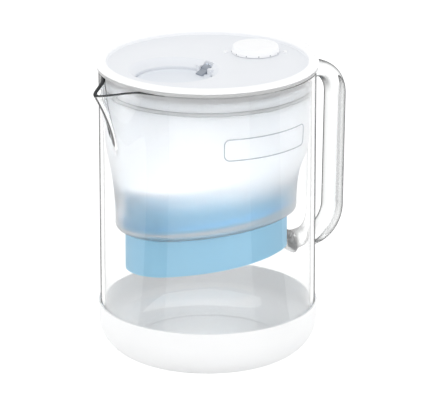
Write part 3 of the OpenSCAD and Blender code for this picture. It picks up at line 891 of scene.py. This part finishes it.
def hopper():
    """Rows from the oval hole up the outside, over the flange, down the inside and back to the hole."""
    t = np.arange(HOPPER_STEPS) * 2 * math.pi / HOPPER_STEPS
    floor_z = HOPPER_BOTTOM + HOPPER_FLOOR
    hole = oval_reach(t, CUP_A + CUP_HOLE_GAP, CUP_B + CUP_HOLE_GAP, CUP_END_R + CUP_HOLE_GAP)
    rows = [polar_row(t, hole, HOPPER_BOTTOM)]
    for a in np.linspace(0, math.pi / 2, 10):
        z = HOPPER_BOTTOM + POCKET_ROUND * (1 - math.cos(a))
        rows.append(polar_row(t, hopper_reach(t, z) - POCKET_ROUND * (1 - math.sin(a)), z))
    for z in np.linspace(POCKET_TOP, COLLAR_Z, 48):
        rows.append(polar_row(t, hopper_reach(t, z), z))
    groove = COLLAR_R - SEAL_GROOVE
    inner_r = COLLAR_R - HOPPER_WALL
    upper = rounded([(COLLAR_R - COLLAR_STEP, COLLAR_Z, 0), (COLLAR_R, COLLAR_Z + 0.8 * MM, 0.3 * MM),
                     (COLLAR_R, SEAL_Z, 0.15 * MM), (groove, SEAL_Z, 0), (groove, SEAL_TOP, 0),
                     (COLLAR_R, SEAL_TOP, 0.15 * MM), (COLLAR_R, JUG_TOP, 0.5 * MM),
                     (FLANGE_R, JUG_TOP, 0.6 * MM), (FLANGE_R, HOPPER_TOP, 0.6 * MM),
                     (inner_r, HOPPER_TOP, 0.4 * MM), (inner_r, COLLAR_Z, 0)], 4)
    rows += [polar_row(t, r, z) for r, z in upper[1:-1]]
    for z in np.linspace(COLLAR_Z, floor_z + FLOOR_ROUND, 52):
        rows.append(polar_row(t, hopper_reach(t, z) - HOPPER_WALL, z))
    rows.append(polar_row(t, hopper_reach(t, floor_z) - HOPPER_WALL - FLOOR_ROUND, floor_z))
    rows.append(polar_row(t, hole, floor_z))
    piece = skin("hopper_shell", rows, "frosted_plastic", closed=True)
    settle(piece, "hopper", "frosted_plastic", "hopper")


def hopper_seal():
    """The wiper ring: its lip bulges out towards the glass."""
    inner = COLLAR_R - SEAL_GROOVE
    edge = SEAL_R - 0.5 * MM
    outline = rounded([(inner, SEAL_MIDDLE, 0), (inner, SEAL_Z, 0.1 * MM), (edge, SEAL_Z, 0.4 * MM),
                       (SEAL_R, SEAL_MIDDLE, 0.5 * MM), (edge, SEAL_TOP, 0.4 * MM),
                       (inner, SEAL_TOP, 0.1 * MM), (inner, SEAL_MIDDLE + 0.01 * MM, 0)], 5)
    piece = lathe("hopper_wiper_seal", outline, "seal_silicone", steps=FINE_STEPS, closed=True)
    settle(piece, "hopper", "seal_silicone", "hopper_seal")


def plate_frame():
    """The raised line of the bare name plate on the hopper's side."""
    wide = PLATE_HALF_ANGLE * hopper_reach(np.array([-math.pi / 2]), PLATE_Z)[0]
    high_z, low_z = PLATE_HALF_H, -PLATE_HALF_H
    corners = [(0, low_z, 0), (wide, low_z, PLATE_CORNER), (wide, high_z, PLATE_CORNER),
               (-wide, high_z, PLATE_CORNER), (-wide, low_z, PLATE_CORNER), (0, low_z, 0)]
    line = rounded(corners, 10)[:-1]
    path = []
    for (a0, z0), (a1, z1) in zip(line, line[1:] + line[:1]):
        n = max(1, int(math.hypot(a1 - a0, z1 - z0) / (1 * MM)))
        path += [(a0 + (a1 - a0) * k / n, z0 + (z1 - z0) * k / n) for k in range(n)]
    rows = []
    for (a0, z0), (a1, z1), (a2, z2) in zip(path[-1:] + path[:-1], path, path[1:] + path[:1]):
        t = -math.pi / 2 + a1 / wide * PLATE_HALF_ANGLE
        r = hopper_reach(np.array([t]), PLATE_Z + z1)[0]
        out = np.array([math.cos(t), math.sin(t), 0])
        along = np.array([-math.sin(t), math.cos(t), 0])
        way = unit(along * (a2 - a0) + np.array([0, 0, z2 - z0]))
        side = np.cross(way, out)
        middle = r * out + np.array([0, 0, PLATE_Z + z1])
        rows.append([middle + PLATE_BEAD * (math.cos(b) * out + math.sin(b) * side)
                     for b in np.arange(8) * math.pi / 4])
    piece = skin("name_plate_frame", rows, "plate_line_painted_shade", closed=True)
    settle(piece, "hopper", "frosted_plastic")


# ---------- the lid ----------


def lid():
    piece = lid_shell()
    add_hinge_seat(piece)
    combine(piece, thumb_tab(), "UNION")
    add_stem_seat(piece)
    settle(piece, "lid", "white_plastic", "lid_top")


def lid_shell():
    """Rows of circles: round the opening's centre up to the dish's edge, then round the jug's axis."""
    through = FILL_R - LEDGE_W
    outer_throat = FILL_R + THROAT_WALL
    opening = rounded([(outer_throat, DISH_Z - 1 * MM, 0), (outer_throat, THROAT_Z, 0.6 * MM),
                       (through, THROAT_Z, 0.6 * MM), (through, LEDGE_Z, 0.4 * MM), (FILL_R, LEDGE_Z, 0),
                       (FILL_R, DISH_Z, 0.8 * MM), (FILL_R + DISH_OUT, PANEL_TOP, 1.2 * MM),
                       (FILL_R + DISH_OUT + 2 * MM, PANEL_TOP, 0)], 5)
    inner_rim = LID_R - RIM_W
    disc = rounded([(inner_rim - 2 * MM, PANEL_TOP, 0), (inner_rim, PANEL_TOP, 0.8 * MM),
                    (inner_rim, LID_TOP, RIM_ROUND), (LID_R, LID_TOP, RIM_ROUND),
                    (LID_R, HOPPER_TOP, 0.5 * MM), (PANEL_R, HOPPER_TOP, 0), (PANEL_R, PANEL_BOTTOM, 0),
                    (PANEL_R - 4 * MM, PANEL_BOTTOM, 0)], 6)
    under = FILL_R + THROAT_WALL + DISH_OUT * (PANEL_BOTTOM - DISH_Z) / (PANEL_TOP - DISH_Z)
    rows = [circle(r, z, FILL_X, FINE_STEPS) for r, z in opening]
    rows += [circle(r, z, 0, FINE_STEPS) for r, z in disc]
    rows.append(circle(under, PANEL_BOTTOM, FILL_X, FINE_STEPS))
    return skin("lid_body", rows[::-1], "lid_plastic", closed=True)


def add_hinge_seat(piece):
    """The block that holds the pin's ends, and the pocket that the knuckle turns in."""
    pocket_w = KNUCKLE_W + 2 * POCKET_GAP
    block_w = pocket_w + 2 * BLOCK_CHEEK
    pocket_z = HINGE.z - KNUCKLE_R - POCKET_GAP
    pocket_x = HINGE.x + KNUCKLE_R + POCKET_GAP
    combine(piece, block("hinge_block", (HINGE.x - KNUCKLE_R - 1 * MM, -block_w / 2, pocket_z - 1.5 * MM),
                         (pocket_x + 1.5 * MM, block_w / 2, HINGE.z + 1.7 * MM), 0, "lid_plastic"), "UNION")
    combine(piece, block("hinge_pocket", (HINGE.x - KNUCKLE_R - 6 * MM, -pocket_w / 2, pocket_z),
                         (pocket_x, pocket_w / 2, PANEL_TOP + 4 * MM), 0.7 * MM, "lid_plastic"), "DIFFERENCE")


def add_stem_seat(piece):
    """The boss under the dial and the hole for its stem."""
    boss_r = STEM_R + 3 * MM
    boss_z = PANEL_BOTTOM - 4 * MM
    boss_top = PANEL_BOTTOM + 0.5 * MM
    hole_r = STEM_R + PIN_GAP
    combine(piece, lathe("stem_boss", [(0, boss_z), (boss_r, boss_z), (boss_r, boss_top), (0, boss_top)],
                         "lid_plastic", DIAL_X, 64), "UNION")
    combine(piece, lathe("stem_hole", [(0, boss_z - MM), (hole_r, boss_z - MM), (hole_r, PANEL_TOP + MM),
                                       (0, PANEL_TOP + MM)], "lid_plastic", DIAL_X, 64), "DIFFERENCE")


def thumb_tab():
    """A flat tab with rounded corners, whose rows draw in by so many millimetres at their heights."""
    top = LID_TOP - 0.6 * MM
    plan = rounded([(TAB_ROOT, 0, 0), (TAB_ROOT, -TAB_HALF_W, 0), (TAB_REACH, -TAB_HALF_W, TAB_ROUND),
                    (TAB_REACH, TAB_HALF_W, TAB_ROUND), (TAB_ROOT, TAB_HALF_W, 0),
                    (TAB_ROOT, 0.01 * MM, 0)], 10)
    middle = np.array([(LID_R + TAB_REACH) / 2, 0])
    rows = [[(*middle, HOPPER_TOP)]]
    for shrink, z in ((0.6, HOPPER_TOP), (0, HOPPER_TOP + 0.6 * MM), (0, top - 0.8 * MM),
                      (0.23, top - 0.2 * MM), (0.8, top)):
        rows.append([(*(p - unit(p - middle) * shrink * MM), z) for p in plan])
    rows.append([(*middle, top)])
    return skin("thumb_tab", rows, "lid_plastic")


def pointers():
    """The two small raised arrows beside the dial."""
    for side in (0, 180):
        turn = math.radians(side + POINTER_TURN)
        way = np.array([math.cos(turn), math.sin(turn)])
        across = np.array([-way[1], way[0]])
        middle = np.array([DIAL_X, 0]) + way * (DIAL_R + 3.2 * MM)
        tip = middle - way * 1.1 * MM
        left = middle + (way * 1.6 - across * 2.4) * MM
        right = middle + (way * 1.6 + across * 2.4) * MM
        plan = rounded([(*tip, 0), (*left, 0.4 * MM), (*right, 0.4 * MM), (*tip, 0)], 4)[:-1]
        rows = [[(*middle, PANEL_TOP - 0.2 * MM)]]
        for share, z in ((1, -0.2), (1, 0.5), (0.8, 0.85)):
            rows.append([(*(middle + (p - middle) * share), PANEL_TOP + z * MM) for p in plan])
        rows.append([(*middle, PANEL_TOP + 0.9 * MM)])
        piece = skin(f"dial_pointer_{side}", rows, "dial_plastic")
        settle(piece, "lid", "white_plastic")


def flap():
    """The round cover, dished inside a bead, with a pull along its free edge."""
    bead = FLAP_R - 2.2 * MM
    top = FLAP_Z + FLAP_T
    outline = rounded([(0, FLAP_Z, 0), (FLAP_R, FLAP_Z, 0.4 * MM), (FLAP_R, top, 0.5 * MM),
                       (bead, top, 0.5 * MM), (bead - 1.2 * MM, top - 0.8 * MM, 0.8 * MM),
                       (6 * MM, top - 0.5 * MM, 3 * MM), (0, top - 0.45 * MM, 0)], 5)
    piece = lathe("fill_flap", outline, "flap_painted_shade", FILL_X)
    pull = lathe("pull", rod_outline(PULL_R, PULL_HALF_W, 0.9 * MM, 5), "flap_painted_shade", 0, 32)
    lay_along_y(pull, Vector((FILL_X - FLAP_R + 5 * MM, 0, top - 0.5 * MM)))
    combine(piece, pull, "UNION")
    settle(piece, "flap", "white_plastic", "flap")


def flap_knuckle():
    """The knuckle round the hinge pin, with the web that carries the flap."""
    half = KNUCKLE_W / 2
    piece = lathe("flap_knuckle", rod_outline(KNUCKLE_R, half, 0.3 * MM, 4), "knuckle_painted_shade", 0, 48)
    lay_along_y(piece, HINGE)
    web = block("web", (HINGE.x - 7.5 * MM, 0.5 * MM - half, HINGE.z - MM),
                (HINGE.x - PIN_R - 0.3 * MM, half - 0.5 * MM, HINGE.z + MM), 0.3 * MM, "knuckle_painted_shade")
    turn_about_y(web, HINGE, WEB_TILT)
    bore_r = PIN_R + PIN_GAP
    bore = lathe("bore", [(0, -half - MM), (bore_r, -half - MM), (bore_r, half + MM), (0, half + MM)],
                 "knuckle_painted_shade", 0, 48)
    lay_along_y(bore, HINGE)
    combine(piece, web, "UNION")
    combine(piece, bore, "DIFFERENCE")
    settle(piece, "flap", "white_plastic")


def rod_outline(r, half, corner, steps):
    """The outline of a round rod with rounded ends."""
    return rounded([(0, -half, 0), (r, -half, corner), (r, half, corner), (0, half, 0)], steps)


# ---------- the dial ----------


def dial():
    cave_r = DIAL_R - DIAL_WALL
    cave_z = DIAL_TOP - DIAL_WALL
    skirt_r = DIAL_R - DIAL_SKIRT
    outline = rounded([(SCREW_HOLE_R, STEM_END, 0), (STEM_R, STEM_END, 0.3 * MM), (STEM_R, cave_z, 0.6 * MM),
                       (cave_r, cave_z, 0.6 * MM), (cave_r, DIAL_Z, 0.3 * MM), (DIAL_R, DIAL_Z, 0.3 * MM),
                       (DIAL_R, DIAL_Z + 1.6 * MM, 0.3 * MM), (skirt_r, DIAL_Z + 2.0 * MM, 0.3 * MM),
                       (skirt_r - 0.5 * MM, DIAL_TOP, 1.3 * MM), (DIAL_R - 4 * MM, DIAL_TOP, 0),
                       (DIAL_R - 5 * MM, DIAL_TOP - 0.25 * MM, 0.6 * MM), (0, DIAL_TOP - 0.35 * MM, 0)], 5)
    bore = [(0, cave_z), (SCREW_HOLE_R, cave_z)]
    piece = lathe("reminder_dial", bore + outline, "dial_plastic", DIAL_X)
    settle(piece, "dial", "white_plastic", "dial_knob")


def marks_tree():
    """Small round marks on a ring: how many, where and how large are the tree's inputs."""
    tree = bpy.data.node_groups.new("marks_on_a_ring", "GeometryNodeTree")
    face = tree.interface
    asked = (("Marks", "Int"), ("Ring Radius", "Float"), ("Height", "Float"), ("Centre X", "Float"),
             ("Mark Radius", "Float"), ("Finish", "Material"))
    for name, kind in asked:
        face.new_socket(name=name, in_out="INPUT", socket_type=f"NodeSocket{kind}")
    face.new_socket(name="Geometry", in_out="OUTPUT", socket_type="NodeSocketGeometry")
    given = {name: node(tree, "NodeGroupInput", out=k) for k, (name, _) in enumerate(asked)}
    ring = node(tree, "GeometryNodeMeshCircle", {},
                {"Vertices": given["Marks"], "Radius": given["Ring Radius"]})
    place = node(tree, "ShaderNodeCombineXYZ", {}, {"X": given["Centre X"], "Z": given["Height"]})
    ring = node(tree, "GeometryNodeTransform", {}, {"Geometry": ring, "Translation": place})
    ball = node(tree, "GeometryNodeMeshIcoSphere", {}, {"Radius": given["Mark Radius"], "Subdivisions": 2})
    balls = node(tree, "GeometryNodeInstanceOnPoints", {}, {"Points": ring, "Instance": ball})
    made = node(tree, "GeometryNodeRealizeInstances", {}, {"Geometry": balls})
    made = node(tree, "GeometryNodeSetMaterial", {}, {"Geometry": made, "Material": given["Finish"]})
    node(tree, "NodeGroupOutput", {}, {"Geometry": made})
    return tree


def grown(name, tree, **inputs):
    """A piece grown by a geometry node tree with these inputs, as a plain mesh."""
    seed = bpy.data.objects.new(name, bpy.data.meshes.new(name))
    bpy.context.collection.objects.link(seed)
    modifier = seed.modifiers.new("grow", "NODES")
    modifier.node_group = tree
    for item in tree.interface.items_tree:
        if item.in_out == "INPUT" and item.name in inputs:
            modifier[item.identifier] = inputs[item.name]
    made = bpy.data.meshes.new_from_object(seed.evaluated_get(bpy.context.evaluated_depsgraph_get()))
    seed.modifiers.clear()
    seed.data = made
    shade(seed)
    return seed


def dial_marks():
    piece = grown("dial_marks", marks_tree(), **{
        "Marks": MARKS, "Ring Radius": DIAL_R - 0.12 * MM, "Height": DIAL_Z + 0.9 * MM, "Centre X": DIAL_X,
        "Mark Radius": MARK_R, "Finish": FINISHES["mark_grey"]})
    settle(piece, "dial", "white_plastic")


# ---------- carried-over nodes ----------


def dress_nodes():
    for node_name, finish in (
            ("cartridge_cup", "cartridge_blue"), ("cartridge_cap", "cap_blue"),
            ("cartridge_gasket", "ring_silicone"), ("inlet_mesh", "screen_steel"), ("inlet_felt", "felt"),
            ("carbon_bed", "carbon"), ("resin_bed", "resin"), ("outlet_felt", "felt"),
            ("lid_skirt", "dial_plastic"), ("lid_seal", "ring_silicone"),
            ("hinge_pin", "steel"), ("flap_gasket", "ring_silicone"), ("dial_drag_ring", "ring_silicone"),
            ("dial_washer", "steel"), ("dial_screw", "steel")):
        dress(node_name, finish)


# ---------- floor and light ----------


def flat_piece(name, plan, z):
    mesh = bpy.data.meshes.new(name)
    mesh.from_pydata([(x, y, z) for x, y in plan], [], [tuple(range(len(plan)))])
    piece = bpy.data.objects.new(name, mesh)
    bpy.context.collection.objects.link(piece)
    return piece


def pale_floor():
    """A white floor that glows, just below the foot; matt surfaces get no light from it."""
    floor = flat_piece("floor", [(-30, -30), (30, -30), (30, 30), (-30, 30)], FLOOR_Z)
    floor.data.materials.append(finish_named("floor_white", lambda tree: {
        "Base Color": (0, 0, 0, 1), "Roughness": 1.0, "Specular IOR Level": 0.0,
        "Emission Color": (1, 1, 1, 1), "Emission Strength": FLOOR_GLOW}))
    floor.visible_diffuse = False


def studio_cards():
    """Two dark cards on the studio floor, whose only part is to draw soft upright bands in the glass."""
    dark = finish_named("card_dark", lambda tree: {"Base Color": (0, 0, 0, 1), "Specular IOR Level": 0.0})
    front = -math.pi / 2 - VIEW_TURN
    for name, start, stop in CARDS:
        turns = [front + math.radians(start + (stop - start) * k / 12) for k in range(13)]
        edges = ((CARD_NEAR, turns), (CARD_FAR, turns[::-1]))
        plan = [(r * math.cos(t), r * math.sin(t)) for r, run in edges for t in run]
        card = flat_piece(name, plan, 0.5 * MM)
        card.data.materials.append(dark)
        card.visible_camera = False
        card.visible_diffuse = False
        card.visible_transmission = False
        card.visible_shadow = False


def softbox(name, at, size, power, aim):
    """A square light at one place that points at another."""
    data = bpy.data.lights.new(name, "AREA")
    data.shape = "SQUARE"
    data.size = size
    data.energy = power
    light = bpy.data.objects.new(name, data)
    light.location = at
    light.rotation_euler = (Vector(aim) - Vector(at)).to_track_quat("-Z", "Y").to_euler()
    bpy.context.collection.objects.link(light)
    return light


def sky():
    """Even white light, strongest just below the horizon and weaker above and below."""
    world = bpy.data.worlds.new("studio")
    bpy.context.scene.world = world
    world.use_nodes = True
    tree = world.node_tree
    way = node(tree, "ShaderNodeTexCoord", out=0)
    up = node(tree, "ShaderNodeSeparateXYZ", {}, {0: way}, out=2)
    shade_up = node(tree, "ShaderNodeValToRGB", {"stops": SKY}, {0: up * 0.5 + 0.5})
    background = tree.nodes["Background"]
    tree.links.new(shade_up.socket, background.inputs[0])
    background.inputs[1].default_value = WORLD_LIGHT


def studio():
    """The sky, one large softbox at the front left, and two small lights where little light gets in."""
    sky()
    softbox("key", KEY_PLACE, KEY_SIZE, KEY_LIGHT, (0, 0, 0.1))
    for name, height, size, power in INNER_LIGHTS:
        # It points down, and a hair off the axis, so that its turn about it is settled
        light = softbox(name, (0, 0, height), size, power, (0, 0.1 * MM, 0))
        light.visible_camera = False
        light.visible_glossy = False
    scene = bpy.context.scene
    scene.view_settings.view_transform = "Standard"
    scene.cycles.max_bounces = 32
    scene.cycles.transmission_bounces = 32
    scene.cycles.glossy_bounces = 12
    scene.cycles.diffuse_bounces = 10


make_camera()
glass_jug()
glass_handle()
boot()
hopper()
hopper_seal()
plate_frame()
lid()
pointers()
flap()
flap_knuckle()
dial()
dial_marks()
dress_nodes()
pale_floor()
studio_cards()
studio()
